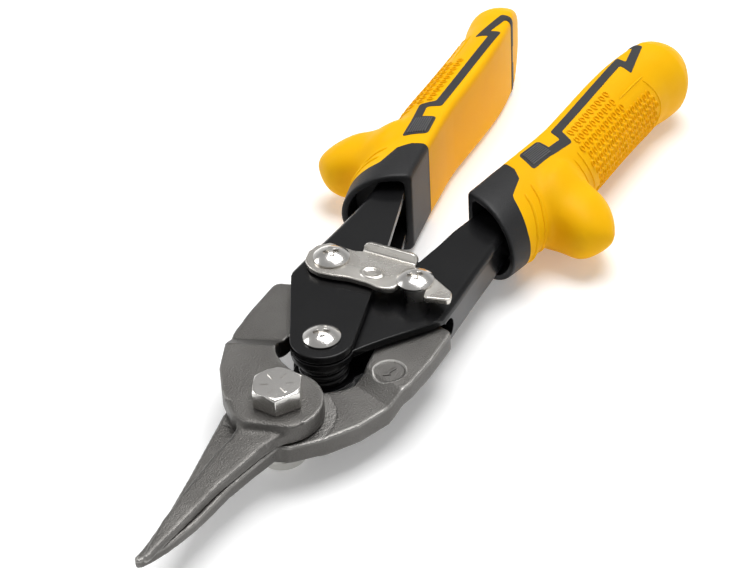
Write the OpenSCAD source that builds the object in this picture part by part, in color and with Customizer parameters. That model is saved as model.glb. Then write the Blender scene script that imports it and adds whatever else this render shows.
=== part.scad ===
// Compound-leverage aviation snips, shown closed with the latch hooked.
// The pivot bolt stands on the Z axis, the blade tip points along -X and the
// grips along +X. The tool lies flat: Z = 0 is the underside of the pivot nut.

/* [Linkage] */
// Distance from the blade pivot to the lever fulcrum
fulcrum_x = 23.3; // [23:0.1:24]
// Distance from the blade pivot to the two tail pins, along the tool
tail_pin_x = 51.9; // [51.5:0.1:52.5]
// Distance of each tail pin from the tool's centre line
tail_pin_y = 12.4; // [12.2:0.1:12.6]

/* [Stack] */
// Height of the middle of the tool above the table
mid_height = 13.2; // [13.2:0.1:13.6]
// Thickness of each blade at the hub
hub_thick = 5.5; // [5.2:0.1:5.6]
// Thickness of each blade tail
tail_thick = 5.3; // [5:0.1:5.6]
// Thickness of the lever plates
plate = 2.2; // [1.8:0.1:2.2]
// Half the outer height of the left lever channel
left_half = 8.2; // [8.2:0.1:8.3]
// Half the outer height of the right lever channel, nested in the left one
right_half = 5.5; // [5.4:0.1:5.5]

/* [Fasteners] */
// Radius of the three lever screws
screw_r = 2.5; // [2.4:0.05:2.5]
// Radius of the screw heads
head_r = 4.9; // [4.5:0.1:5]
// Radius of the pivot bolt
bolt_r = 4; // [3.5:0.1:4]
// Width across flats of the pivot bolt head
bolt_flats = 12; // [11:0.5:13]

/* [Latch] */
// Thickness of the latch plate
latch_thick = 1.8; // [1.5:0.1:2]
// Height of the thumb tab above the latch plate
tab_height = 3.4; // [3:0.1:6]

/* [Grips] */
// Half the height of the grips at the rear
grip_half = 13.2; // [12.8:0.1:13.2]
// Wall of the soft cover over the hard core
cover_wall = 2.6; // [2:0.1:3]
// Distance of the finger guards' outer ends from the centre line
guard_reach = 46; // [45.5:0.1:46.5]

/* [Hidden] */
$fn = 64;

// Radial clearance of a running pin, and the slack at small gaps
run = 0.05;
gap = 0.05;
// Radial slack of the open pivot, where the linkage's constant ratios
// leave the lower blade's hole up to 0.27 off its pin
open_slack = 0.4;
bush_r = 3;
sleeve_r = 4;
blade_steel = [0.45, 0.44, 0.42];
bright_steel = [0.82, 0.82, 0.8];
black_paint = [0.05, 0.05, 0.05];
hard_grey = [0.2, 0.2, 0.2];
yellow = [0.95, 0.7, 0.05];

fulcrum = [fulcrum_x, 0];
left_pin = [tail_pin_x, tail_pin_y];
right_pin = [tail_pin_x, -tail_pin_y];

// Height of the latch's underside: above the left plate and its washer
latch_z = left_half + 0.4;
latch_top = latch_z + latch_thick;
// Underside of the two screw heads beside the latch
high_head_z = latch_top + gap;

// Points on an arc of radius r about centre c, from angle a to angle b
function arc(c, r, a, b, n = 12) =
  [for (i = [0 : n]) let (t = a + (b - a) * i / n) [c.x + r * cos(t), c.y + r * sin(t)]];
// Cosine easing of u, held at 0 and 1 outside its range
function ease(u) = (1 - cos(180 * max(0, min(1, u)))) / 2;
// Height in a table of [x, value] pairs, with straight lines between them
function along(table, x) = lookup(x, table);

module at_mid() { translate([0, 0, mid_height]) children(); }
// A right-side part is a left-side part turned over about the X axis
module turned_over() { rotate([180, 0, 0]) children(); }
module post(c, r, z0, z1) { translate([c.x, c.y, z0]) cylinder(r = r, h = z1 - z0); }
module ring(c, r_in, r_out, z0, z1) {
  difference() {
    post(c, r_out, z0, z1);
    post(c, r_in, z0 - 1, z1 + 1);
  }
}

// ---------------------------------------------------------------- blades

// Where the blade steps from the hub's level to the middle of the tool
step_angle = 20;
step_start = 21.3;
step_end = 26.7;
hub_r = 11.5;
tail_r = 5.8;
tip_x = -60.5;

// Hub and tail of a blade whose tail lies on the +Y side
blade_body = concat(
  arc([0, 0], hub_r, 225, 368),
  [[12.2, 3.7], [13.7, 6.7], [16.2, 9.7], [18.9, 11.3], [22, 12.3], [25, 11.8], [38, 9.6]],
  arc(left_pin, tail_r, 245, 395),
  [[54.6, 18.1], [47.4, 18.2], [46.5, 21.8]],
  arc([43.4, 23.8], 2.5, 0, 90, 5),
  [[32, 26.5], [22, 25.8], [15, 23.9], [5, 20], [-3, 14.6], [-9.6, 8], [-11.2, 3.4]]);

// Upper arm, from its back edge round the tip to its cutting edge
upper_arm = [[-6, -9.8], [-11, -5.4], [-17, -3.7], [-32, -0.8], [-44, 0.4], [-54, 1.6],
  [-59.4, 2.1], [tip_x + 0.3, 2.8], [-59.6, 3.5], [-55, 4.5], [-47, 5.6], [-36, 6],
  [-26, 5.9], [-12, 5.6], [-6, 8]];
// Lower arm, wider, with the rounded end that takes the upper point
lower_arm = [[-6, -6.5], [-16, -4.2], [-28, -2], [-42, -0.9], [-52, 1.2], [-57.4, 3.2],
  [-59.8, 4.6], [-60, 5.7], [-58.9, 6.5], [-56.3, 6.2], [-44, 6.9], [-29, 9.2], [-14, 11.9], [-4, 13.6]];

// Side profile: hub above the middle plane, then a step down to the tail
module step_profile() {
  rotate([0, 0, step_angle])
    translate([0, 60, 0])
      rotate([90, 0, 0])
        linear_extrude(height = 120)
          polygon([[-40, gap / 2], [step_start, gap / 2], [step_end, -tail_thick / 2],
            [70, -tail_thick / 2], [70, tail_thick / 2], [step_end, tail_thick / 2],
            [step_start, hub_thick], [-40, hub_thick]]);
}

// Arm tapering in height from the throat to the tip
module arm_profile(root_h, tip_h) {
  translate([0, 60, 0])
    rotate([90, 0, 0])
      linear_extrude(height = 120)
        polygon([[-70, gap / 2], [0, gap / 2], [0, root_h], [-14, root_h], [-70, tip_h]]);
}

module upper_blade() {
  color(blade_steel) at_mid() difference() {
    union() {
      intersection() {
        linear_extrude(height = 30, center = true) polygon(blade_body);
        step_profile();
      }
      intersection() {
        linear_extrude(height = 30, center = true) polygon(upper_arm);
        arm_profile(3.4, 1.9);
      }
    }
    post([0, 0], bolt_r + run, -20, 20);
    post(left_pin, screw_r + run, -20, 20);
    throat_slope();
  }
}

// Slope from the hub's face down to the rim above the throat
module throat_slope() {
  translate([-8.5, 8.5, hub_thick])
    rotate([0, 0, 48])
      rotate([35, 0, 0])
        translate([-25, 0, 0])
          cube([60, 12, 8]);
}

module lower_blade() {
  color(blade_steel) at_mid() difference() {
    union() {
      turned_over() intersection() {
        linear_extrude(height = 30, center = true) polygon(blade_body);
        step_profile();
      }
      mirror([0, 0, 1]) intersection() {
        linear_extrude(height = 30, center = true) polygon(lower_arm);
        arm_profile(4.2, 2.4);
      }
    }
    post([0, 0], bolt_r + run, -20, 20);
    post(right_pin, screw_r + open_slack, -20, 20);
  }
}

// ------------------------------------------------------------ blade pivot

bolt_head_h = 5.3;
bolt_corner_angle = 204.6;
nut_top = -hub_thick - gap;
nut_flats = 13;
insert_r = 5.6;

module pivot_bolt() {
  head_top = hub_thick + gap + bolt_head_h;
  color(bright_steel) at_mid() {
    post([0, 0], bolt_r, -mid_height + 0.8, hub_thick + gap + 1);
    intersection() {
      translate([0, 0, hub_thick + gap])
        rotate([0, 0, bolt_corner_angle])
          cylinder(r = bolt_flats / sqrt(3), h = bolt_head_h, $fn = 6);
      rotate_extrude()
        polygon([[0, 0], [12, 0], [12, head_top - 3.4], [bolt_flats / 2 - 0.2, head_top], [0, head_top]]);
    }
    for (i = [0 : 5])
      rotate([0, 0, 60 * i])
        translate([2.2, -0.3, head_top - 0.2])
          cube([2, 0.6, 0.4]);
  }
}

module pivot_nut() {
  color(bright_steel) at_mid() difference() {
    union() {
      rotate([0, 0, 10])
        translate([0, 0, nut_top - 4.6])
          cylinder(r = nut_flats / sqrt(3), h = 4.6, $fn = 6);
      rotate_extrude()
        polygon(concat([[0, -mid_height]], arc([5.2, -mid_height + 1.1], 1.1, 270, 360, 6),
          [[6.3, nut_top - 4], [0, nut_top - 4]]));
    }
    post([0, 0], bolt_r, -20, 0);
    post([0, 0], insert_r, -mid_height + 0.8, -mid_height + 3.2);
  }
}

module pivot_nut_insert() {
  color("white") at_mid() ring([0, 0], bolt_r, insert_r, -mid_height + 0.8, -mid_height + 3.2);
}

// ---------------------------------------------------------------- levers

nose_r = 8.3;
left_outline = concat(
  arc(fulcrum, nose_r, 119.4, 281.8, 16),
  [[46, -2.8], [66, 2.9], [84, 8.2], [98, 12.6], [107, 15.9], [116, 17.3], [130, 18.9], [162, 20.2],
   [162, 25], [130, 23.8], [100, 20.2], [84, 18.8], [68, 19.4], [52, 20.9], [46, 21.1], [43, 19.9]]);
// Everything on the open side of the web
left_inside = [[0, -60], [163, -60], [163, 22.8], [130, 21.6], [100, 18], [84, 16.6], [68, 17.2],
  [52, 18.7], [46, 18.9], [46, 60], [0, 60]];
right_outline = concat(
  arc(fulcrum, nose_r, 280, 82, 16),
  [[36, 5], [46, 1.6], [57, -3], [66, -6.6], [82, -9], [98, -12.6], [107, -15.9], [116, -17.3],
   [130, -19.2], [162, -21],
   [162, -25.6], [130, -24], [100, -21.6], [84, -22.2], [68, -22.7], [56, -23.2], [46.6, -23.4],
   [43.6, -21.9], [32.5, -13.4], [28, -10.2]]);
right_inside = [[0, 60], [163, 60], [163, -23.4], [130, -21.8], [100, -19.4], [84, -20], [68, -20.5],
  [56, -21], [47, -21.2], [47, -60], [0, -60]];

// Notch in the web: its half height, and the centre of its round end
notch_r = tail_thick / 2 + 0.5;
notch_end = 48.6;

// Channel section: two plates joined by the web on the outer side
module channel(outline, inside, half) {
  difference() {
    linear_extrude(height = 2 * half, center = true) polygon(outline);
    linear_extrude(height = 2 * (half - plate), center = true) polygon(inside);
    // Notch that lets the blade tail's shoulder swing past the web
    for (side = [-1, 1])
      translate([notch_end, side * 30, 0]) {
        rotate([90, 0, 0])
          cylinder(r = notch_r, h = 24, center = true);
        translate([-10, -12, -notch_r]) cube([10, 24, 2 * notch_r]);
      }
  }
}

module left_lever() {
  color(black_paint) at_mid() difference() {
    channel(left_outline, left_inside, left_half);
    post(fulcrum, screw_r + run, -20, 20);
    post(left_pin, screw_r + run, -20, 20);
  }
}

module right_lever() {
  color(black_paint) at_mid() difference() {
    channel(right_outline, right_inside, right_half);
    post(fulcrum, sleeve_r + run, -20, 20);
    post(right_pin, screw_r + run, -20, 20);
  }
}

// ------------------------------------------------------- screws and nuts

dome_h = 2.3;
rim_h = 0.6;
dome_r = (head_r * head_r + pow(dome_h - rim_h, 2)) / (2 * (dome_h - rim_h));
nut_h = 4;

// Pan head with a cross recess, on a shank that ends at z0
module screw(c, head_z, z0) {
  difference() {
    union() {
      post(c, screw_r, z0, head_z + 1);
      translate([c.x, c.y, head_z])
        rotate_extrude()
          polygon(concat([[0, 0], [head_r - 0.2, 0], [head_r, 0.2]],
            arc([0, dome_h - dome_r], dome_r, asin((dome_r - dome_h + rim_h) / dome_r), 90, 6)));
    }
    translate([c.x, c.y, head_z + dome_h])
      rotate([0, 0, 35])
        for (turn = [0, 90])
          rotate([0, 0, turn])
            cube([4.8, 1.1, 2.6], center = true);
  }
}

module hex_nut(c, top) {
  translate([c.x, c.y, top - nut_h])
    difference() {
      cylinder(r = 4.6, h = nut_h, $fn = 6);
      translate([0, 0, -1]) cylinder(r = screw_r, h = nut_h + 2);
    }
}

module fulcrum_screw() {
  color(bright_steel) at_mid() screw(fulcrum, left_half, -left_half - nut_h);
}
module left_tail_screw() {
  color(bright_steel) at_mid() screw(left_pin, high_head_z, -left_half - nut_h);
}
module right_tail_screw() {
  color(bright_steel) at_mid() screw(right_pin, high_head_z, -right_half - nut_h);
}
module fulcrum_nut() { color(bright_steel) at_mid() hex_nut(fulcrum, -left_half); }
module left_tail_nut() { color(bright_steel) at_mid() hex_nut(left_pin, -left_half); }
module right_tail_nut() { color(bright_steel) at_mid() hex_nut(right_pin, -right_half); }

module fulcrum_sleeve() {
  half = left_half - plate;
  color(bright_steel) at_mid() ring(fulcrum, screw_r, sleeve_r, -half, half);
}

// Thin rings between the nested channels
module fulcrum_washers() {
  color(black_paint) at_mid()
    for (side = [0, 1])
      mirror([0, 0, side])
        ring(fulcrum, sleeve_r, 7.2, right_half + gap, left_half - plate);
}

// Rings that centre the tail between the left lever's plates
module left_tail_spacers() {
  color(bright_steel) at_mid()
    for (side = [0, 1])
      mirror([0, 0, side])
        ring(left_pin, screw_r, 5.2, tail_thick / 2 + gap, left_half - plate);
}

module right_tail_washers() {
  color(bright_steel) at_mid()
    for (side = [0, 1])
      mirror([0, 0, side])
        ring(right_pin, screw_r, 5.2, tail_thick / 2 + gap, right_half - plate);
}

// Raised collar that the latch hooks round
module right_tail_bush() {
  color(bright_steel) at_mid() ring(right_pin, screw_r, bush_r, right_half, high_head_z);
}

// ----------------------------------------------------------------- spring

wire_r = 0.95;
coil_r = 5.6;
coil_pitch = 2.05;
coil_turns = 3;

// Wound torsion spring: rings of wire stacked round the sleeve, with a leg
// along each lever
module return_spring() {
  color(black_paint) at_mid() {
    for (i = [0 : coil_turns - 1])
      translate([fulcrum.x, fulcrum.y, (i - (coil_turns - 1) / 2) * coil_pitch])
        rotate_extrude($fn = 32)
          translate([coil_r, 0])
            circle(r = wire_r, $fn = 12);
    for (side = [-1, 1])
      translate([fulcrum.x, side * coil_r, side * (coil_turns - 1) / 2 * coil_pitch])
        rotate([0, 90, 0])
          cylinder(r = wire_r, h = 12, $fn = 12);
  }
}

// ------------------------------------------------------------------ latch

latch_r = 7;
tab_x = 57.4;
latch_outline = concat(
  arc(left_pin, latch_r, -10, 175, 14),
  [[45.3, 8.5], [46.2, 4.5], [46.2, -1.5], [45.4, -5], [46.3, -8], [48, -9.05], [51.9, -9.05]],
  arc(right_pin, bush_r + 0.35, 90, -90, 12),
  [[51.9, -15.9], [46.6, -17.6]],
  arc([50.6, -22], 1.6, 215, 330, 6),
  [[56.6, -14], [57.4, -10], [tab_x, -9.2], [59, -7.8], [59, 6.2], [tab_x, 7.6]]);

module latch() {
  color([0.75, 0.74, 0.71]) at_mid() difference() {
    union() {
      translate([0, 0, latch_z])
        linear_extrude(height = latch_thick) polygon(latch_outline);
      // Thumb tab bent up along the back edge
      translate([tab_x, 0, latch_z + 0.4])
        rotate([90, 0, 90])
          linear_extrude(height = 1.6)
            polygon(concat([[-9.2, 0]], [[6.6, 0]], arc([4.8, tab_height - 0.3], 1.8, 0, 90, 6),
              arc([-7.4, tab_height - 0.3], 1.8, 90, 180, 6)));
    }
    post(left_pin, screw_r + run, 0, 20);
    // Pressed dimple
    for (y = [-1.4, 1])
      post([50.2, y], 2.2, latch_top - 0.5, 20);
    translate([48, -1.4, latch_top - 0.5]) cube([4.4, 2.4, 5]);
  }
}

module latch_washer() {
  color(bright_steel) at_mid() ring(left_pin, screw_r, 5.4, left_half, latch_z);
}

// ------------------------------------------------------------------ grips

// Distance of the flat inner face from the centre line, along the tool
inner_face = [[80, 6], [91, 8.5], [105, 10.8], [115, 12.3], [127, 14.1], [145, 15], [160, 16.1],
  [170, 17.6], [180, 20.2], [192, 24.5]];
// Distance from the inner face to the outermost point of the section
section_w = [[80, 19.9], [91, 20.1], [100, 19.5], [112, 18.2], [120, 17.4], [150, 16.4], [162, 15.9], [172, 15.5], [180, 15.6],
  [186, 11.3], [189, 8], [190, 5.5]];
// Half height of the section
section_h = [[80, 12.6], [91, 12.8], [105, 12.5], [130, 12.3], [160, grip_half], [172, grip_half], [180, 12.9],
  [186, 10], [189, 7], [190, 5]];
// The closed grips lean together to the right by this much at the rear
lean_start = 105;
lean_end = 190;
rear_lean = 1.8;
function leaning(x, lean) = lean * max(0, x - lean_start) / (lean_end - lean_start);

// D-shaped section at x, drawn in by the given amount: a flat inner face
// with rounded corners and a round outer side
corner = 2.2;
function grip_ring(x, inset, lean = 0, sides = 20) =
  let (y0 = along(inner_face, x) + inset + leaning(x, lean), w = along(section_w, x) - 2 * inset,
    h = along(section_h, x) - inset, flat = min(w * 0.25, 4.5), rx = w - flat)
  concat([[x, y0, -h + corner], [x, y0, h - corner], [x, y0 + 0.65, h - 0.65], [x, y0 + corner, h]],
    [for (i = [0 : sides]) let (t = 90 - 180 * i / sides) [x, y0 + flat + rx * cos(t), h * sin(t)]],
    [[x, y0 + corner, -h], [x, y0 + 0.65, -h + 0.65]]);

// Closed skin over a row of rings with equal numbers of points
module skin(rings) {
  n = len(rings[0]);
  last = len(rings) - 1;
  points = [for (r = rings) for (p = r) p];
  sides = [for (i = [0 : last - 1]) for (j = [0 : n - 1])
    [i * n + j, i * n + (j + 1) % n, (i + 1) * n + (j + 1) % n, (i + 1) * n + j]];
  ends = [[for (j = [0 : n - 1]) n - 1 - j], [for (j = [0 : n - 1]) last * n + j]];
  polyhedron(points, concat(sides, ends));
}

cover_stations = [80, 92, 105, 116, 128, 140, 150, 158, 164, 169, 174, 179, 183, 186, 188, 189.3, 190];
tang_stations = [87, 96, 105, 116, 128, 140, 150, 158, 166, 174, 178];
module grip_body(lean) { skin([for (x = cover_stations) grip_ring(x, 0, lean)]); }
module grip_tang(lean) { skin([for (x = tang_stations) grip_ring(x, cover_wall, lean)]); }

// Plan of the hard collar: slanted mouth in front, stepped edge behind
collar_plan = [[91, 6], [107.8, 6], [107.2, 12.8], [102.5, 19], [95.5, 20.4], [92.5, 24], [88.8, 29.5],
  [78, 36], [82.6, 27], [86.6, 18.2]];
// Everything in front of the cover's edge
cover_front = [[60, 0], [107.8, 0], [107.2, 12.8], [102.5, 19], [95.5, 20.4], [92.5, 24],
  [88.8, 29.5], [87, 38], [60, 38]];
mouth_wall = 2.2;
mouth_depth = 11;

// Finger guard, a rounded fin that grows out of the grip's outer side:
// distance in from its outer end, front x, rear x, half height, middle height
guard_table = [[28, 102, 126, 11.4, 0], [20, 100, 124, 12.4, -0.5], [17, 99.8, 122.4, 11.2, -1.1],
  [14.5, 99.5, 120.9, 9.9, -1.8], [12, 99.1, 119.4, 9.4, -2.2], [9, 98.2, 118, 8.9, -2.2],
  [6, 98.4, 115.8, 7.2, -2.1], [3.5, 100.2, 112.8, 5.3, -2], [1.5, 102.4, 109.6, 3.4, -2],
  [0.5, 103.8, 107, 1.8, -2.1], [0, 104.4, 105.6, 1, -2.1]];
guard_sides = 24;
// Sine or cosine of a section a little fuller than an ellipse
function full(v) = sign(v) * pow(abs(v), 0.85);
function guard_ring(row) =
  let (mid_x = (row[1] + row[2]) / 2, half_x = (row[2] - row[1]) / 2)
  [for (i = [0 : guard_sides - 1]) let (t = 360 * i / guard_sides)
    [mid_x + half_x * full(cos(t)), guard_reach - row[0], row[4] + row[3] * full(sin(t))]];
module guard() { skin([for (row = guard_table) guard_ring(row)]); }

module grip_core(lean) {
  difference() {
    union() {
      intersection() {
        grip_body(lean);
        linear_extrude(height = 40, center = true) polygon(collar_plan);
      }
      grip_tang(lean);
    }
    // Mouth that the lever enters
    intersection() {
      skin([for (x = [80, 92, 96 + mouth_depth]) grip_ring(x, mouth_wall)]);
      linear_extrude(height = 40, center = true)
        polygon([[78, 0], [102, 0], [98, 40], [78, 40]]);
    }
  }
}

module grip_cover(lean) {
  difference() {
    union() {
      grip_body(lean);
      guard();
    }
    linear_extrude(height = 40, center = true) polygon(cover_front);
    grip_tang(lean);
  }
}

module left_grip_core() {
  color(hard_grey) at_mid() difference() {
    grip_core(-rear_lean);
    linear_extrude(height = 2 * left_half, center = true) polygon(left_outline);
  }
}
module right_grip_core() {
  color(hard_grey) at_mid() difference() {
    mirror([0, 1, 0]) grip_core(rear_lean);
    linear_extrude(height = 2 * right_half, center = true) polygon(right_outline);
  }
}
module left_grip_cover() { color(yellow) at_mid() grip_cover(-rear_lean); }
module right_grip_cover() { color(yellow) at_mid() mirror([0, 1, 0]) grip_cover(rear_lean); }

upper_blade();
lower_blade();
pivot_bolt();
pivot_nut();
pivot_nut_insert();
left_lever();
right_lever();
fulcrum_screw();
fulcrum_nut();
fulcrum_sleeve();
fulcrum_washers();
left_tail_screw();
left_tail_nut();
left_tail_spacers();
right_tail_screw();
right_tail_nut();
right_tail_washers();
right_tail_bush();
return_spring();
latch();
latch_washer();
left_grip_core();
left_grip_cover();
right_grip_core();
right_grip_cover();
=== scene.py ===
# %% [markdown]
# # Compound-leverage snips
# A pair of sheet-metal snips: two crossed blades, two black channel levers, a
# latch and two soft grips with finger guards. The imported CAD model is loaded
# first, because every piece made here has to sit on one of its bodies.

# %% Load the frame
from math import asin, cos, pi, radians, sin

import bmesh
import bpy
from mathutils import Matrix, Vector
from mathutils.bvhtree import BVHTree


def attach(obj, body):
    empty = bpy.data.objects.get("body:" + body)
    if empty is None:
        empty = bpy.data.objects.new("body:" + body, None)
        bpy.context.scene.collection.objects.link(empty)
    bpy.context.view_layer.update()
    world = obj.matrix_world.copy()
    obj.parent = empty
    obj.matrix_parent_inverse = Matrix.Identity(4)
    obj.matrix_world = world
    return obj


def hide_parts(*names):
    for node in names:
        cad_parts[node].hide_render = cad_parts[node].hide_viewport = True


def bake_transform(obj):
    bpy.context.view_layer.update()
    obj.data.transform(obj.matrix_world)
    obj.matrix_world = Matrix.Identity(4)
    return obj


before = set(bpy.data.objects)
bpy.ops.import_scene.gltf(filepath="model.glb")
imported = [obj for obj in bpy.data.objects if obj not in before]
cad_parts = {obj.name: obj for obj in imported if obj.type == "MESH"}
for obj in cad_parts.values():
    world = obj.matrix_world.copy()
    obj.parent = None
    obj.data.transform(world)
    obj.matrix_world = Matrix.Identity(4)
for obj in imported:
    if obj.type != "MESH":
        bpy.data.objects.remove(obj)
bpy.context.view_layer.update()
mid_height = 13.2
mm = 0.001

# %% [markdown]
# ## Shared tools
# Shapes are worked in millimetres about the middle plane of the tool, which is
# how a maker would dimension them, and are turned into metres only when the
# piece is finished. Its place then lies in its mesh, so the object itself
# stays at the origin, unturned and unscaled.


# %% Finish a piece, and copy a CAD node
def finish_piece(bm, name, finish, body, replaced=(), smooth=40, fix_normals=True, flats=False):
    """Moves a shape into the shared frame as an object that rides on a body."""
    if fix_normals:
        bmesh.ops.recalc_face_normals(bm, faces=bm.faces)
    bmesh.ops.translate(bm, verts=bm.verts, vec=(0, 0, mid_height))
    bmesh.ops.scale(bm, verts=bm.verts, vec=(mm, mm, mm))
    mesh = bpy.data.meshes.new(name)
    bm.to_mesh(mesh)
    bm.free()
    mesh.shade_smooth()
    mesh.set_sharp_from_angle(angle=radians(smooth))
    piece = bpy.data.objects.new(name, mesh)
    bpy.context.scene.collection.objects.link(piece)
    mesh.materials.append(finish)
    if flats:
        even = piece.modifiers.new("even_shading", "WEIGHTED_NORMAL")
        even.keep_sharp = True
    if body:
        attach(piece, body)
    if replaced:
        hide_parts(*replaced)
    print(f"{name}: {len(mesh.polygons)} faces")
    return piece


same_point = 0.002
same_plane = 0.6


def copy_of(node):
    """The CAD node in millimetres, merged into one skin with whole flat faces."""
    bm = bmesh.new()
    bm.from_mesh(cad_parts[node].data)
    bmesh.ops.scale(bm, verts=bm.verts, vec=(1 / mm, 1 / mm, 1 / mm))
    bmesh.ops.translate(bm, verts=bm.verts, vec=(0, 0, -mid_height))
    bmesh.ops.remove_doubles(bm, verts=bm.verts, dist=same_point)
    bmesh.ops.dissolve_limit(bm, angle_limit=radians(same_plane), verts=bm.verts, edges=bm.edges)
    return bm


def corner_edges(bm, least):
    """Edges where the surface turns by more than this many degrees."""
    return [e for e in bm.edges if len(e.link_faces) == 2 and e.calc_face_angle() > radians(least)]


def round_edges(bm, edges, width, segments, clamp=False):
    bmesh.ops.bevel(bm, geom=edges, offset=width, offset_type="OFFSET", segments=segments, profile=0.5,
                    affect="EDGES", clamp_overlap=clamp, material=-1)


def middle(e):
    return (e.verts[0].co + e.verts[1].co) / 2


# %% Join or cut two shapes, and lay a plate from its corner points
def combined(bm, other, how):
    """Adds, subtracts or keeps the common part of two closed shapes."""
    holders = []
    for shape in (bm, other):
        mesh = bpy.data.meshes.new("work")
        shape.to_mesh(mesh)
        shape.free()
        holder = bpy.data.objects.new("work", mesh)
        bpy.context.scene.collection.objects.link(holder)
        holders.append(holder)
    step = holders[0].modifiers.new("join", "BOOLEAN")
    step.operation = how
    step.object = holders[1]
    step.solver = "EXACT"
    step.use_hole_tolerant = True
    result = evaluated(holders[0])
    for holder in holders:
        bpy.data.objects.remove(holder)
    return result


def evaluated(holder):
    """The shape that an object has after its modifiers."""
    graph = bpy.context.evaluated_depsgraph_get()
    mesh = bpy.data.meshes.new_from_object(holder.evaluated_get(graph))
    bm = bmesh.new()
    bm.from_mesh(mesh)
    bpy.data.meshes.remove(mesh)
    return bm


def remeshed(bm, size):
    """One even skin of small squares round everything in the shape."""
    mesh = bpy.data.meshes.new("work")
    bm.to_mesh(mesh)
    bm.free()
    holder = bpy.data.objects.new("work", mesh)
    bpy.context.scene.collection.objects.link(holder)
    step = holder.modifiers.new("voxels", "REMESH")
    step.mode = "VOXEL"
    step.voxel_size = size
    result = evaluated(holder)
    bpy.data.objects.remove(holder)
    return result


def smoothed(bm, verts, times):
    for _ in range(times):
        bmesh.ops.smooth_vert(bm, verts=verts, factor=0.5, use_axis_x=True, use_axis_y=True, use_axis_z=True)


def passes(times, fine, used):
    """Smoothing passes that reach equally far on a coarser skin."""
    return max(1, round(times * (fine / used) ** 2))


def plate_from(outline, low, high):
    """A flat plate: corner points in plan, filled and pulled up."""
    bm = bmesh.new()
    face = bm.faces.new([bm.verts.new((x, y, low)) for x, y in outline])
    top = bmesh.ops.extrude_face_region(bm, geom=[face])["geom"]
    bmesh.ops.translate(bm, verts=[v for v in top if isinstance(v, bmesh.types.BMVert)],
                        vec=(0, 0, high - low))
    bmesh.ops.recalc_face_normals(bm, faces=bm.faces)
    return bm


def add_to(bm, other):
    """Puts a second shape into the first, and lets go of it."""
    mesh = bpy.data.meshes.new("work")
    other.to_mesh(mesh)
    other.free()
    bm.from_mesh(mesh)
    bpy.data.meshes.remove(mesh)


def turned(points, sides):
    """A lathe shape: a profile of (radius, height) points spun once round Z."""
    bm = bmesh.new()
    profile = [bm.verts.new((r, 0, z)) for r, z in points]
    edges = [bm.edges.new(pair) for pair in zip(profile, profile[1:])]
    bmesh.ops.spin(bm, geom=profile + edges, cent=(0, 0, 0), axis=(0, 0, 1), angle=2 * pi,
                   steps=sides, use_merge=True)
    bmesh.ops.remove_doubles(bm, verts=bm.verts, dist=0.0005)
    bmesh.ops.recalc_face_normals(bm, faces=bm.faces)
    return bm


# %% [markdown]
# ## Finishes
# Two effects are shared by several finishes, so each is a node group. One
# gives a fine grain: a bump and a change of roughness from the same noise,
# as blasting, moulding or plating leaves. The other gives worn, polished
# edges that are partly painted highlight, from a number written on the bevels
# broken up by a noise.

# %% Group: fine grain
def new_group(name, inputs, outputs):
    group = bpy.data.node_groups.new(name, "ShaderNodeTree")
    for label, kind, value in inputs:
        socket = group.interface.new_socket(label, in_out="INPUT", socket_type=kind)
        socket.default_value = value
    for label, kind in outputs:
        group.interface.new_socket(label, in_out="OUTPUT", socket_type=kind)
    return group, group.nodes.new("NodeGroupInput"), group.nodes.new("NodeGroupOutput")


def math_node(tree, how, first, second):
    node = tree.nodes.new("ShaderNodeMath")
    node.operation = how
    for socket, value in zip(node.inputs, (first, second)):
        if hasattr(value, "links"):
            tree.links.new(value, socket)
        else:
            socket.default_value = value
    return node.outputs[0]


grain, g_in, g_out = new_group(
    "fine_grain",
    [("Scale", "NodeSocketFloat", 900.0), ("Depth", "NodeSocketFloat", 0.1),
     ("Roughness", "NodeSocketFloat", 0.4), ("Spread", "NodeSocketFloat", 0.1)],
    [("Roughness", "NodeSocketFloat"), ("Normal", "NodeSocketVector"), ("Mask", "NodeSocketFloat")])
place = grain.nodes.new("ShaderNodeTexCoord")
fine = grain.nodes.new("ShaderNodeTexNoise")
fine.inputs["Detail"].default_value = 3
broad = grain.nodes.new("ShaderNodeTexNoise")
broad.inputs["Scale"].default_value = 70
broad.inputs["Detail"].default_value = 4
grain.links.new(place.outputs["Object"], fine.inputs["Vector"])
grain.links.new(place.outputs["Object"], broad.inputs["Vector"])
grain.links.new(g_in.outputs["Scale"], fine.inputs["Scale"])
bump = grain.nodes.new("ShaderNodeBump")
bump.inputs["Distance"].default_value = 0.0002
grain.links.new(g_in.outputs["Depth"], bump.inputs["Strength"])
grain.links.new(fine.outputs["Fac"], bump.inputs["Height"])
grain.links.new(bump.outputs["Normal"], g_out.inputs["Normal"])
swing = math_node(grain, "SUBTRACT", broad.outputs["Fac"], 0.5)
swing = math_node(grain, "MULTIPLY", swing, g_in.outputs["Spread"])
grain.links.new(math_node(grain, "ADD", g_in.outputs["Roughness"], swing), g_out.inputs["Roughness"])
grain.links.new(fine.outputs["Fac"], g_out.inputs["Mask"])
print("group", grain.name)

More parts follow.
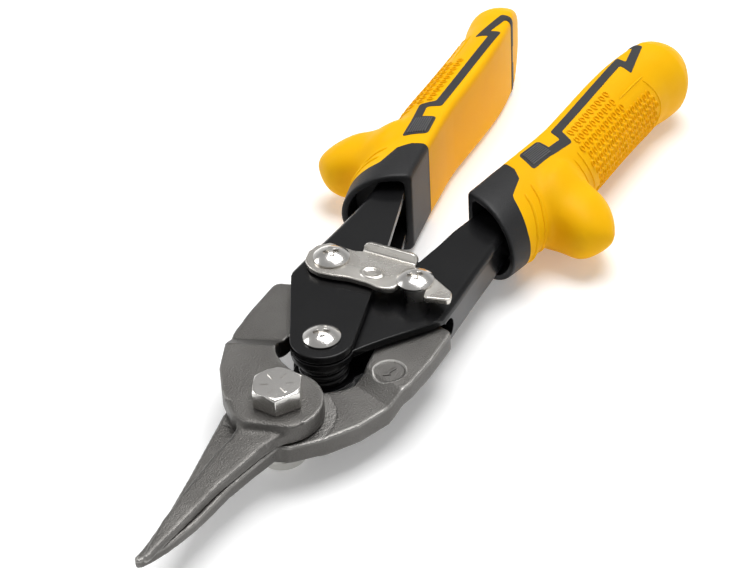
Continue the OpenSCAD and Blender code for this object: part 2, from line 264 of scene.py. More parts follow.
# %% Group: polished edges and painted edge highlight
worn_and_highlit_edges, e_in, e_out = new_group(
    "edge_wear_and_highlight", [("Break Up", "NodeSocketFloat", 0.3)], [("Mask", "NodeSocketFloat")])
written = worn_and_highlit_edges.nodes.new("ShaderNodeAttribute")
written.attribute_name = "wear_and_highlight"
place = worn_and_highlit_edges.nodes.new("ShaderNodeTexCoord")
patch = worn_and_highlit_edges.nodes.new("ShaderNodeTexNoise")
patch.inputs["Scale"].default_value = 350
worn_and_highlit_edges.links.new(place.outputs["Object"], patch.inputs["Vector"])
patchy = math_node(worn_and_highlit_edges, "MULTIPLY", patch.outputs["Fac"], e_in.outputs["Break Up"])
whole = math_node(worn_and_highlit_edges, "SUBTRACT", 1.0, patchy)
worn_and_highlit_edges.links.new(math_node(worn_and_highlit_edges, "MULTIPLY", written.outputs["Fac"], whole), e_out.inputs["Mask"])
print("group", worn_and_highlit_edges.name)


# %% [markdown]
# Every finish starts from a Principled shader with the grain group on its
# roughness and normal. Numbers that are the same all over are typed on the
# shader itself.

# %% Make a finish
def base_finish(name, colour, metallic, roughness, scale, depth, spread, **fixed):
    finish = bpy.data.materials.new(name)
    finish.use_nodes = True
    tree = finish.node_tree
    shader = tree.nodes["Principled BSDF"]
    shader.inputs["Base Color"].default_value = (*colour, 1)
    shader.inputs["Metallic"].default_value = metallic
    for label, value in fixed.items():
        shader.inputs[label.replace("_", " ")].default_value = value
    texture = tree.nodes.new("ShaderNodeGroup")
    texture.node_tree = grain
    for label, value in (("Scale", scale), ("Depth", depth), ("Roughness", roughness), ("Spread", spread)):
        texture.inputs[label].default_value = value
    tree.links.new(texture.outputs["Roughness"], shader.inputs["Roughness"])
    tree.links.new(texture.outputs["Normal"], shader.inputs["Normal"])
    return finish, tree, shader, texture


def two_tone(tree, shader, dark, light, scale):
    """Base colour that drifts between two near tones."""
    place = tree.nodes.new("ShaderNodeTexCoord")
    drift = tree.nodes.new("ShaderNodeTexNoise")
    drift.inputs["Scale"].default_value = scale
    drift.inputs["Detail"].default_value = 5
    tree.links.new(place.outputs["Object"], drift.inputs["Vector"])
    ramp = tree.nodes.new("ShaderNodeValToRGB")
    ramp.color_ramp.elements[0].position = 0.35
    ramp.color_ramp.elements[0].color = (*dark, 1)
    ramp.color_ramp.elements[1].position = 0.65
    ramp.color_ramp.elements[1].color = (*light, 1)
    tree.links.new(drift.outputs["Fac"], ramp.inputs["Fac"])
    tree.links.new(ramp.outputs["Color"], shader.inputs["Base Color"])
    return ramp.outputs["Color"]


def polish_and_highlight_on_edges(tree, shader, texture, face_colour, bright, edge_rough):
    """Mixes a bright polished metal over the face colour where edges are worn; the lighter edges are partly
    painted highlight.
    """
    worn = tree.nodes.new("ShaderNodeGroup")
    worn.node_tree = worn_and_highlit_edges
    worn.inputs["Break Up"].default_value = 0.3
    mix = tree.nodes.new("ShaderNodeMix")
    mix.data_type = "RGBA"
    tree.links.new(worn.outputs["Mask"], mix.inputs["Factor"])
    tree.links.new(face_colour, mix.inputs["A"])
    mix.inputs["B"].default_value = (*bright, 1)
    tree.links.new(mix.outputs["Result"], shader.inputs["Base Color"])
    rough = tree.nodes.new("ShaderNodeMix")
    tree.links.new(worn.outputs["Mask"], rough.inputs["Factor"])
    tree.links.new(texture.outputs["Roughness"], rough.inputs["A"])
    rough.inputs["B"].default_value = edge_rough
    tree.links.new(rough.outputs["Result"], shader.inputs["Roughness"])


# %% The metals
blasted_steel, tree, shader, texture = base_finish(
    "blasted_steel", (0.12, 0.115, 0.11), 1.0, 0.46, 2400, 0.9, 0.16)
tone = two_tone(tree, shader, (0.108, 0.104, 0.098), (0.142, 0.137, 0.13), 60)
# Lighter colour on convex blade edges: partly edge wear, partly painted highlight
polish_and_highlight_on_edges(tree, shader, texture, tone, (0.38, 0.37, 0.355), 0.32)
bright_nickel, *_ = base_finish("bright_nickel", (0.8, 0.78, 0.75), 1.0, 0.19, 1500, 0.08, 0.12)
plated_nut, *_ = base_finish("plated_nut", (0.7, 0.69, 0.66), 1.0, 0.34, 1800, 0.15, 0.15)
turned_steel, *_ = base_finish("turned_steel", (0.55, 0.54, 0.52), 1.0, 0.3, 1800, 0.12, 0.15)
black_oxide, *_ = base_finish("black_oxide", (0.02, 0.02, 0.02), 0.6, 0.28, 1500, 0.12, 0.1)
black_enamel, tree, shader, texture = base_finish(
    "black_enamel", (0.0045, 0.0045, 0.005), 0.0, 0.24, 260, 0.05, 0.1,
    Coat_Weight=0.1, Coat_Roughness=0.08, Specular_IOR_Level=0.3)
two_tone(tree, shader, (0.0035, 0.0035, 0.004), (0.006, 0.006, 0.0065), 30)
satin_nickel, tree, shader, texture = base_finish(
    "satin_nickel", (0.7, 0.67, 0.62), 1.0, 0.27, 700, 0.1, 0.16)
two_tone(tree, shader, (0.62, 0.59, 0.545), (0.72, 0.695, 0.65), 140)
print("metals made")

# %% The plastics
hard_plastic, tree, shader, texture = base_finish(
    "hard_plastic", (0.013, 0.013, 0.014), 0.0, 0.46, 2600, 0.35, 0.12, Specular_IOR_Level=0.3)
two_tone(tree, shader, (0.011, 0.011, 0.012), (0.016, 0.016, 0.017), 60)
soft_yellow, tree, shader, texture = base_finish(
    "soft_yellow", (0.88, 0.46, 0.002), 0.0, 0.5, 1300, 0.1, 0.12, Subsurface_Weight=0.03,
    Subsurface_Scale=0.002, Subsurface_Radius=(1.0, 0.5, 0.1), Specular_IOR_Level=0.09)
two_tone(tree, shader, (0.86, 0.435, 0.0015), (0.9, 0.48, 0.0025), 35)
soft_grey, tree, shader, texture = base_finish(
    "soft_grey", (0.03, 0.03, 0.032), 0.0, 0.6, 2000, 0.25, 0.1, Specular_IOR_Level=0.3)
two_tone(tree, shader, (0.027, 0.027, 0.03), (0.037, 0.037, 0.039), 60)
rib_grey, *_ = base_finish(
    "rib_grey", (0.09, 0.09, 0.092), 0.0, 0.5, 2000, 0.2, 0.1, Specular_IOR_Level=0.4)
nylon, *_ = base_finish("nylon", (0.8, 0.8, 0.76), 0.0, 0.5, 1500, 0.1, 0.1, Subsurface_Weight=0.1)
print("plastics made")

# %% [markdown]
# ## Blades
# Each blade is a drop forging: a thick hub, a joggled tail and a slim arm,
# shot-blasted grey with bright edges. The CAD node has the exact shape but
# knife-sharp corners. A forging has soft ones, so a copy is remeshed in small
# voxels and smoothed, more where the real one has wide fillets. Where the
# skin is then most convex, the steel is marked as polished, and given a lighter
# colour that is partly edge wear and partly painted highlight.

# %% Tools for a forging
fine_voxel = 0.34
blade_voxel = fine_voxel


def convexity(bm, size, low=0.35, high=1.5):
    """Writes how sharply the skin turns outwards, 0 to 1, on its points; this sets a lighter edge colour that
    is partly wear and partly painted highlight.
    """
    bm.normal_update()
    layer = bm.verts.layers.float.new("wear_and_highlight")
    value = {}
    for v in bm.verts:
        ring = [e.other_vert(v).co for e in v.link_edges]
        bulge = (v.co - sum(ring, Vector()) / len(ring)).dot(v.normal)
        value[v] = min(1.0, max(0.0, (4 * bulge / size ** 2 - low) / (high - low)))
    for v in bm.verts:
        near = [value[e.other_vert(v)] for e in v.link_edges]
        v[layer] = 0.5 * value[v] + 0.5 * sum(near) / len(near)
    return layer


def forging(node, zones):
    """A soft-cornered copy of a node, with more passes where a zone asks."""
    bm = remeshed(copy_of(node), blade_voxel)
    smoothed(bm, bm.verts, passes(4, fine_voxel, blade_voxel))
    for zone, extra in zones:
        smoothed(bm, [v for v in bm.verts if zone(v.co)], passes(extra, fine_voxel, blade_voxel))
    return bm


# %% Upper blade
def throat(c):
    return -17 < c.x < -5 and c.z > 2.2 and c.y < 13


def upper_ridge(c):
    return c.x < -14 and c.z > 0.9


bm = forging("upper_blade", [(throat, 26), (upper_ridge, 10)])
convexity(bm, blade_voxel)
finish_piece(bm, "upper_blade_forging", blasted_steel, "upper_blade", ["upper_blade"], 60)


# %% Lower blade
mark_at = Vector((24.5, -18.5))
mark_r = 4.0
mark_depth = 0.4
mark_edge = 0.3
crescent_r = 14.4
crescent_depth = 0.12
clear_bore = 4.25


def lower_side(c):
    return c.x < -4 and c.z < -0.8


bm = forging("lower_blade", [(lower_side, 12)])
# Smoothing drew the bore in, and the bolt has to turn in it
for v in bm.verts:
    if v.co.xy.length < clear_bore:
        v.co.xy *= clear_bore / v.co.xy.length
near_mark = [f for f in bm.faces
             if f.normal.z > 0.5 and (f.calc_center_median().xy - mark_at).length < mark_r + 1.5]
edges = dict.fromkeys(e for f in near_mark for e in f.edges)
bmesh.ops.subdivide_edges(bm, edges=list(edges), cuts=2, use_grid_fill=True)
wear_and_highlight = convexity(bm, blade_voxel)
for v in bm.verts:
    out = (v.co.xy - mark_at).length
    if v.normal.z > 0.5 and out < mark_r + 1:
        v.co.z -= mark_depth * min(1.0, max(0.0, (mark_r + mark_edge - out) / (2 * mark_edge)))
        v[wear_and_highlight] = 0.7 if abs(out - mark_r - 0.25) < mark_edge else 0.0
    if v.normal.z > 0.6 and v.co.xy.length < crescent_r and v.co.x > -9:
        v.co.z -= crescent_depth
        v[wear_and_highlight] = max(v[wear_and_highlight], 0.3)
finish_piece(bm, "lower_blade_forging", blasted_steel, "lower_blade", ["lower_blade"], 60)

# %% The plain mark in the ring
arrow_outline = [(-2.1, -0.5), (0.6, -0.5), (0.6, -1.3), (2.4, 0), (0.6, 1.3), (0.6, 0.5), (-2.1, 0.5)]
arrow = plate_from(arrow_outline, 2.0, 2.55)
round_edges(arrow, corner_edges(arrow, 40), 0.12, 2)
bmesh.ops.rotate(arrow, verts=arrow.verts, cent=(0, 0, 0), matrix=Matrix.Rotation(radians(160), 3, "Z"))
bmesh.ops.translate(arrow, verts=arrow.verts, vec=(*mark_at, 0))
finish_piece(arrow, "blade_mark", blasted_steel, "lower_blade")

# %% [markdown]
# ## Levers
# The levers are bent from sheet: a channel with two plates and a web. Along
# the outer side the sheet turns through a wide bend, so that corner gets a
# large radius, and every cut edge only a small one. Each plate is filled from
# its corner points, and the web is a strip between them with an arched end.

# %% Lever plates and web
sheet = 2.2
bend_r = 2.0
bend_start = 45.9
outer_side = 17
cut_round = 0.32
notch_half = 3.15
notch_x = 48.6
notch_run = 9
fulcrum = (23.3, 0)


def arc(centre, r, start, end, count):
    return [(centre[0] + r * cos(radians(start + (end - start) * i / count)),
             centre[1] + r * sin(radians(start + (end - start) * i / count))) for i in range(count + 1)]


nose_r = 8.3
left_plan = arc(fulcrum, nose_r, 119.4, 281.8, 30) + [
    (46, -2.8), (66, 2.9), (84, 8.2), (98, 12.6), (104, 14.6), (104, 20.6), (92, 19.4), (84, 18.8),
    (76, 18.9), (68, 19.4), (60, 20.1), (52, 20.9), (46, 21.1), (43, 19.9)]
right_plan = arc(fulcrum, nose_r, 82, 280, 30)[::-1] + [
    (36, 5), (46, 1.6), (57, -3), (66, -6.6), (74, -8), (82, -9), (98, -12.6), (104, -14.6),
    (104, -21.6), (92, -21.9), (84, -22.2), (76, -22.5), (68, -22.7), (56, -23.2), (46.6, -23.4),
    (43.6, -21.9), (32.5, -13.4), (28, -10.2)]


def lever_plate(plan, side, low, high, outer_z):
    """One plate; outer_z is the face that turns into the web's outer side."""
    bm = plate_from(plan, low, high)

    def on_bend(e):
        return (abs(middle(e).z - outer_z) < 0.01 and min(v.co.x for v in e.verts) > bend_start
                and min(v.co.y * side for v in e.verts) > outer_side
                and abs(e.verts[0].co.x - e.verts[1].co.x) > 0.5)

    round_edges(bm, [e for e in bm.edges if on_bend(e)], bend_r, 7)
    round_edges(bm, corner_edges(bm, 50), cut_round, 3)
    return bm


def channel(plan, side, half, start):
    """Both plates and the web between them, with its notch cut out."""
    bm = lever_plate(plan, side, half - sheet, half, half)
    add_to(bm, lever_plate(plan, side, -half, sheet - half, -half))
    outer = [p for p in plan if p[1] * side > outer_side and p[0] >= start]
    if outer[0][0] > outer[-1][0]:
        outer = outer[::-1]
    strip = outer + [(x, y - side * sheet) for x, y in outer[::-1]]
    web = plate_from(strip, bend_r - half - 0.1, half - bend_r + 0.1)
    slot = bmesh.new()
    bmesh.ops.create_cone(slot, segments=48, radius1=notch_half, radius2=notch_half, depth=14, cap_ends=True)
    bmesh.ops.rotate(slot, verts=slot.verts, cent=(0, 0, 0), matrix=Matrix.Rotation(radians(90), 3, "X"))
    stretch = [v for v in slot.verts if v.co.x < -0.01]
    bmesh.ops.translate(slot, verts=stretch, vec=(-notch_run, 0, 0))
    bmesh.ops.translate(slot, verts=slot.verts, vec=(notch_x, side * 21, 0))
    add_to(bm, combined(web, slot, "DIFFERENCE"))
    return bm


finish_piece(channel(left_plan, 1, 8.2, 46), "left_channel_lever", black_enamel, "left_handle",
             ["left_lever"], 35, flats=True)
finish_piece(channel(right_plan, -1, 5.5, 46.6), "right_channel_lever", black_enamel, "right_handle",
             ["right_lever"], 35, flats=True)

# %% [markdown]
# ## Screws, bolt and nuts
# A pan head is a turned shape, so its profile is spun. The cross recess is
# taken out of it as two tapered slots. The bolt and the nuts already have
# their shape in CAD, the bolt with six short raised marks on its head, so a
# copy of each only needs the fine round edges that catch the light.

# %% Screw heads
head_r = 4.9
dome_h = 2.3
rim_h = 0.55
shank_r = 2.5
recess_turn = 35
slot_length = 6.6
slot_width = 1.5
slot_foot = (0.42, 0.75, 1)


def slot_cutter(top, turn, deep):
    """One arm of the cross recess, narrower at its foot."""
    bm = bmesh.new()
    made = bmesh.ops.create_cube(bm, size=1)["verts"]
    bmesh.ops.scale(bm, verts=made, vec=(slot_length, slot_width, deep))
    bmesh.ops.scale(bm, verts=[v for v in made if v.co.z < 0], vec=slot_foot)
    way = Matrix.Rotation(radians(turn + recess_turn), 3, "Z")
    bmesh.ops.rotate(bm, verts=made, cent=(0, 0, 0), matrix=way)
    bmesh.ops.translate(bm, verts=made, vec=(0, 0, top))
    return bm


def pan_head(name, centre, seat, shank_end, body, node):
    """A screw in one turned piece, with a cross recess cut in its head."""
    dome_r = (head_r ** 2 + (dome_h - rim_h) ** 2) / (2 * (dome_h - rim_h))
    start = asin((dome_r - dome_h + rim_h) / dome_r)
    steps = 9
    dome = [(dome_r * cos(start + (pi / 2 - start) * i / steps),
             dome_h - dome_r + dome_r * sin(start + (pi / 2 - start) * i / steps)) for i in range(steps)]
    foot = shank_end - seat
    profile = [(0, foot), (shank_r - 0.3, foot), (shank_r, foot + 0.3), (shank_r, 0), (head_r - 0.2, 0),
               (head_r - 0.03, 0.12), (head_r, 0.3)] + dome + [(0, dome_h)]
    bm = turned(profile, 64)
    # The second arm is a little shallower, so that no two floors lie level
    bm = combined(bm, slot_cutter(dome_h, 0, 3.4), "DIFFERENCE")
    bm = combined(bm, slot_cutter(dome_h, 90, 3.3), "DIFFERENCE")
    lip = [e for e in corner_edges(bm, 40) if middle(e).z > 1.6 and middle(e).xy.length < 3.4]
    round_edges(bm, lip, 0.09, 2)
    bmesh.ops.translate(bm, verts=bm.verts, vec=(*centre, seat))
    finish_piece(bm, name, bright_nickel, body, [node], 30, flats=True)


high_seat = 10.45
pan_head("fulcrum_pan_screw", (23.3, 0), 8.2, -12.2, "left_handle", "fulcrum_screw")
pan_head("left_tail_pan_screw", (51.9, 12.4), high_seat, -12.2, "left_handle", "left_tail_screw")
pan_head("right_tail_pan_screw", (51.9, -12.4), high_seat, -9.5, "right_handle", "right_tail_screw")

# %% Pivot bolt and nuts
raised_marks = 10.7
bm = copy_of("pivot_bolt")
round_edges(bm, [e for e in corner_edges(bm, 18) if middle(e).z < raised_marks], 0.16, 3)
finish_piece(bm, "pivot_hex_bolt", bright_nickel, "upper_blade", ["pivot_bolt"], 30,
             flats=True)
for node, name, body in (("pivot_nut", "pivot_lock_nut", "upper_blade"),
                         ("fulcrum_nut", "fulcrum_hex_nut", "left_handle"),
                         ("left_tail_nut", "left_tail_hex_nut", "left_handle"),
                         ("right_tail_nut", "right_tail_hex_nut", "right_handle")):
    bm = copy_of(node)
    round_edges(bm, corner_edges(bm, 20), 0.25, 2)
    finish_piece(bm, name, plated_nut, body, [node], 30, flats=True)

# %% [markdown]
# ## Latch
# The latch is pressed from plated sheet: a flat strap with a hook, a dimple
# for the thumb to find and a tab bent up along its back edge. The outline is
# filled and pulled up, then its back wall is spun round a bend line and
# extruded into the tab, as the press folds it. The dimple is a turned cup.

# %% Latch
strap = [(57.9, -9.3), (57.9, 6.3), (57.2, 8.4), (57.9, 15.9), (55.3, 18.6), (52, 19.4), (48.5, 18.6),
         (45.9, 16), (44.9, 12.4), (45.3, 8.5), (46.2, 4.5), (46.2, -1.5), (45.4, -5), (46.3, -8),
         (48, -9.05), (51.9, -9.05), (54.1, -9.9), (55.2, -11.6), (55.2, -13.2), (54.1, -14.9),
         (51.9, -15.75), (46.4, -17.4), (48.2, -24.2), (51.4, -23.4), (56.6, -14), (56.8, -10.5)]
latch_low = 8.6
latch_high = 10.4
fold_x = 57.9
fold_r = 0.7
fold_angle = 68
tab_rise = 1.9


def pressed_latch():
    """The strap, pulled up from its outline, with its tab folded up."""
    bm = plate_from(strap, latch_low, latch_high)
    uprights = [e for e in bm.edges if abs(e.verts[0].co.z - e.verts[1].co.z) > 1]
    soft = [e for e in uprights if middle(e).x < 57.4 and not 51 < middle(e).x < 55.5 or middle(e).y < -20]
    soft = [e for e in soft if e.calc_face_angle() > radians(12) and not middle(e).y == -9.05]
    round_edges(bm, soft, 0.9, 3, True)
    back = [f for f in bm.faces if f.normal.x > 0.9 and abs(f.calc_center_median().y + 0.8) < 2
            and f.calc_center_median().x > 57.5][0]
    # Fold: spin the back wall up about a line just above the strap
    fold = bmesh.ops.spin(bm, geom=[back], cent=(fold_x, 0, latch_high + fold_r), axis=(0, -1, 0),
                          angle=radians(fold_angle), steps=6, use_merge=False)["geom_last"]
    top = [f for f in fold if isinstance(f, bmesh.types.BMFace)]
    way = top[0].normal.copy()
    rise = bmesh.ops.extrude_face_region(bm, geom=top)["geom"]
    bmesh.ops.translate(bm, verts=[v for v in rise if isinstance(v, bmesh.types.BMVert)], vec=way * tab_rise)
    bmesh.ops.delete(bm, geom=top, context="FACES")
    bmesh.ops.remove_doubles(bm, verts=bm.verts, dist=0.001)
    bmesh.ops.recalc_face_normals(bm, faces=bm.faces)
    high = max(v.co.z for v in bm.verts)
    ends = [e for e in bm.edges if middle(e).z > high - 0.7 and abs(e.verts[0].co.y - e.verts[1].co.y) < 0.01
            and abs(e.verts[0].co.x - e.verts[1].co.x) > 1]
    round_edges(bm, ends, 1.7, 6, True)
    return bm


bm = pressed_latch()
round_edges(bm, corner_edges(bm, 40), 0.38, 3)
finish_piece(bm, "pressed_latch", satin_nickel, "latch", ["latch"], 35, flats=True)

# %% Latch dimple
cup = [(2.35 * sin(radians(a)), -0.15 + 0.9 * (1 - cos(radians(a)))) for a in range(0, 61, 10)]
dimple = turned(cup + [(2.3, 0.36), (2.6, 0.33), (2.95, 0.14), (3.15, -0.02), (3.15, -0.4), (0, -0.4)], 48)
bmesh.ops.scale(dimple, verts=dimple.verts, vec=(0.86, 1.12, 1))
bmesh.ops.translate(dimple, verts=dimple.verts, vec=(50.3, -0.5, latch_high))
finish_piece(dimple, "latch_dimple", satin_nickel, "latch")

# %% [markdown]
# ## Return spring
# A torsion spring sits round the fulcrum sleeve. Its wire is one circle
# carried round a screw line, which spin does when it is given a rise. The
# spring joins the two levers, and is attached to neither of their bodies.

# %% Spring
wire_r = 0.95
coil_r = 5.6
coil_pitch = 2.05
coil_turns = 3.5
coil_steps = 98
leg_length = 11
rise = coil_pitch * coil_turns
bm = bmesh.new()
start = bmesh.ops.create_circle(bm, segments=12, radius=wire_r, cap_ends=True)
bmesh.ops.rotate(bm, verts=start["verts"], cent=(0, 0, 0), matrix=Matrix.Rotation(radians(90), 3, "X"))
bmesh.ops.translate(bm, verts=start["verts"], vec=(coil_r, 0, -rise / 2))
bmesh.ops.spin(bm, geom=list(bm.faces), cent=(0, 0, 0), axis=(0, 0, 1), dvec=(0, 0, rise / coil_steps),
               angle=2 * pi * coil_turns, steps=coil_steps, use_merge=False)
bmesh.ops.rotate(bm, verts=bm.verts, cent=(0, 0, 0), matrix=Matrix.Rotation(radians(90), 3, "Z"))
for end in (-1, 1):
    caps = [f for f in bm.faces if len(f.verts) == 12 and f.calc_center_median().z * end > rise / 2 - 1.2]
    if caps:
        legs = bmesh.ops.extrude_face_region(bm, geom=caps)["geom"]
        ends = [v for v in legs if isinstance(v, bmesh.types.BMVert)]
        bmesh.ops.translate(bm, verts=ends, vec=(leg_length, 0, 0))
        bmesh.ops.delete(bm, geom=caps, context="FACES")
bmesh.ops.translate(bm, verts=bm.verts, vec=(*fulcrum, 0))
spring = finish_piece(bm, "torsion_spring", black_oxide, None, ["return_spring"], 60)
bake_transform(spring)

# %% [markdown]
# ## Grips
# A grip is a soft cover over a hard core. Its section is a D with a flat
# inner face, and it changes along the tool. A circle is laid at each station,
# its points are moved onto the D and the loops are bridged into one skin.
# The finger guard is a second skin of ovals, and a voxel remesh joins the two
# so that smoothing can run a soft fillet between them.

# %% Tables of the grip's section
inner_face = [(76, 4.8), (91, 8.5), (105, 10.8), (115, 12.3), (127, 14.1), (145, 15), (160, 16.1),
              (170, 17.6), (180, 20.2), (192, 24.5)]
section_w = [(76, 19.8), (91, 20.1), (100, 19.5), (112, 18.2), (120, 17.4), (150, 16.4), (162, 15.9),
             (172, 15.5), (180, 15.6), (186, 11.3), (189, 8), (190, 5.5)]
section_h = [(76, 12.5), (91, 12.8), (105, 12.5), (130, 12.3), (160, 13.2), (172, 13.2), (180, 12.9),
             (186, 10), (189, 7), (190, 5)]
rear_lean = 1.8
lean_from = 105
grip_end = 190


def along(table, x):
    """Value in a table of (x, value) pairs, with a smooth curve through them."""
    last = len(table) - 1
    i = max([k for k in range(last) if table[k][0] <= x] or [0])
    (x0, a), (x1, b) = table[i], table[i + 1]
    t = min(1.0, max(0.0, (x - x0) / (x1 - x0)))

    def slope(k):
        low, high = table[max(k - 1, 0)], table[min(k + 1, last)]
        return (high[1] - low[1]) / (high[0] - low[0])

    m0, m1 = slope(i) * (x1 - x0), slope(i + 1) * (x1 - x0)
    return ((2 * t ** 3 - 3 * t ** 2 + 1) * a + (t ** 3 - 2 * t ** 2 + t) * m0
            + (3 * t ** 2 - 2 * t ** 3) * b + (t ** 3 - t ** 2) * m1)


corner_r = 1.9


def d_section(x, inset=0.0):
    """48 points round the section: flat inner face, round corners, round outer side."""
    y0 = along(inner_face, x) + inset
    w = along(section_w, x) - 2 * inset
    h = along(section_h, x) - inset
    flat = min(w * 0.25, 4.5)
    rx = w - flat
    r = min(corner_r, h * 0.6, flat * 0.9)
    pts = []
    for i in range(25):
        t = pi / 2 - pi * i / 24
        pts.append((x, y0 + flat + rx * cos(t), h * sin(t)))
    for i in range(6):
        t = pi / 2 * i / 5
        pts.append((x, y0 + r - r * sin(t), -h + r - r * cos(t)))
    for i in range(1, 12):
        pts.append((x, y0, (-h + r) + 2 * (h - r) * i / 12))
    for i in range(6):
        t = pi / 2 * i / 5
        pts.append((x, y0 + r - r * cos(t), h - r + r * sin(t)))
    return pts


# %% Skin over a row of loops
def skin_over(loops, bm=None):
    """Circles moved onto the given loops of points, bridged and capped."""
    bm = bm or bmesh.new()
    rings = []
    for points in loops:
        ring = bmesh.ops.create_circle(bm, segments=len(points), radius=1)["verts"]
        for v, p in zip(ring, points):
            v.co = p
        rings.append(ring)

    def loop_edges(ring):
        members = set(ring)
        touching = dict.fromkeys(e for v in ring for e in v.link_edges)
        return [e for e in touching if e.verts[0] in members and e.verts[1] in members]

    for a, b in zip(rings, rings[1:]):
        bmesh.ops.bridge_loops(bm, edges=loop_edges(a) + loop_edges(b))
    for ring in (rings[0], rings[-1]):
        bmesh.ops.contextual_create(bm, geom=ring)
    bmesh.ops.recalc_face_normals(bm, faces=bm.faces)
    return bm


# %% The cover's body with its guard
guard_rows = [(28, 102, 126, 11.4, 0), (20, 100, 124, 12.4, -0.5), (17, 99.8, 122.4, 11.2, -1.1),
              (14.5, 99.5, 120.9, 9.9, -1.8), (12, 99.1, 119.4, 9.4, -2.2), (9, 98.2, 118, 8.9, -2.2),
              (6, 98.4, 115.8, 7.2, -2.1), (3.5, 100.2, 112.8, 5.3, -2), (1.5, 102.4, 109.6, 3.4, -2),
              (0.5, 103.8, 107, 1.8, -2.1), (0, 104.4, 105.6, 1, -2.1)]
guard_reach = 46
plump = 0.85


def full(v):
    return abs(v) ** plump * (1 if v >= 0 else -1)


def guard_loop(depth, front, rear, half, height):
    """A plump oval of 32 points, this deep inside the guard's outer end."""
    centre, reach = (front + rear) / 2, (rear - front) / 2
    turns = [2 * pi * i / 32 for i in range(32)]
    return [(centre + reach * full(cos(t)), guard_reach - depth, height + half * full(sin(t))) for t in turns]


stations = [76, 80, 84, 88, 92, 96, 100, 105, 110, 116, 122, 128, 134, 140, 146, 152, 158, 163, 168,
            172, 176, 180, 183, 185.5, 187.5, 189, grip_end]
fine_skin = 0.55
voxel = fine_skin
bm = skin_over([d_section(x) for x in stations])
skin_over([guard_loop(*row) for row in guard_rows], bm)
cover = remeshed(bm, voxel)
smoothed(cover, cover.verts, 3)
near_guard = [v for v in cover.verts if 97 < v.co.x < 132 and v.co.y > 20.5]
smoothed(cover, near_guard, passes(22, fine_skin, voxel))
bmesh.ops.recalc_face_normals(cover, faces=cover.faces)
print("grip skin", len(cover.faces), "faces")

# %% [markdown]
# The cover stops at a stepped front edge, where the hard collar shows. The
# dark inlay is let into its top and its underside: a square with fine ribs,
# then a line with two jogs. Both are cut from the same skin, swollen by a
# fraction of a millimetre, so they follow the grip exactly.

# %% Cut the front edge, and make the inlay
cover_front = [(60, 0), (107.8, 0), (107.2, 12.8), (106, 15.8), (102.8, 18.8), (95.6, 20.2), (94.4, 21.2),
               (92, 24.5), (89.9, 27.3), (88.6, 30), (87, 38), (60, 38)]
inlay_square = [(108.6, 20.3), (112.3, 14.0), (120.9, 15.7), (119.0, 22.0)]
inlay_line = [(117.0, 20.4), (125.4, 22.3), (127.3, 18.3), (166.3, 19.8), (165.4, 23.4), (175.8, 21.6),
              (176.2, 18.4)]
line_half = 1.32
rib_count = 8


def swollen(bm, by):
    """A copy of a skin, grown outwards along its normals."""
    grown = bm.copy()
    grown.normal_update()
    for v in grown.verts:
        v.co += v.normal * by
    return grown


def strip_outline(path, half):
    """Both sides of a path, with mitred corners."""
    left, right = [], []
    for i, p in enumerate(path):
        p = Vector(p)
        before = (p - Vector(path[i - 1])).normalized() if i else None
        after = (Vector(path[i + 1]) - p).normalized() if i < len(path) - 1 else None
        way = ((before or after) + (after or before)).normalized()
        side = Vector((-way.y, way.x))
        spread = half / max(0.45, abs(side.dot(Vector((-(after or before).y, (after or before).x)))))
        left.append(tuple(p + side * spread))
        right.append(tuple(p - side * spread))
    return left + right[::-1]


def both_faces(outline, low, bm=None, soften=0.0):
    """The same outline pulled up on the top and down on the underside."""
    bm = bm or bmesh.new()
    for start, end in ((low, 20), (-20, -low)):
        plate = plate_from(outline, start, end)
        if soften:
            upright = [e for e in plate.edges if abs(e.verts[0].co.z - e.verts[1].co.z) > 1]
            round_edges(plate, upright, soften, 4, True)
        add_to(bm, plate)
    return bm


cutter = plate_from(cover_front, -30, 30)
body_skin = cover.copy()
line_shape = both_faces(strip_outline(inlay_line, line_half), 3, soften=0.7)
square_shape = both_faces(inlay_square, 3, soften=1.1)
inlay_shape = combined(line_shape, square_shape, "UNION")
inlay = combined(swollen(body_skin, 0.12), inlay_shape, "INTERSECT")
# The line goes on down the rear of the flat inner face, from top to underside
rear_line = [(176.1, 14), (176.1, 11), (175.9, 5), (175.8, 0), (175.7, -5), (175.6, -11), (175.6, -14)]
rear_half = 0.8
band = plate_from(strip_outline(rear_line, rear_half), -21.8, -10)
bmesh.ops.rotate(band, verts=band.verts, cent=(0, 0, 0), matrix=Matrix.Rotation(radians(90), 3, "X"))
add_to(inlay, combined(swollen(body_skin, 0.14), band, "INTERSECT"))
ribs_shape = bmesh.new()
corner_a, corner_b, corner_c, corner_d = [Vector(p) for p in inlay_square]
for i in range(rib_count):
    u = 0.12 + 0.76 * (i + 0.5) / rib_count
    a = corner_a.lerp(corner_b, u)
    b = corner_d.lerp(corner_c, u)
    ends = (a.lerp(b, 0.1), a.lerp(b, 0.9))
    both_faces(strip_outline([tuple(p) for p in ends], 0.17), 5, ribs_shape)
ribs = combined(swollen(body_skin, 0.4), ribs_shape, "INTERSECT")
cover = combined(cover, cutter, "DIFFERENCE")
print("cover", len(cover.faces), "inlay", len(inlay.faces), "ribs", len(ribs.faces))

# %% [markdown]
# The outer side has a field of small raised rings for the fingers. One ring
# of 48 faces is made and repeated, each copy turned to stand square on the
# surface where a ray meets it.

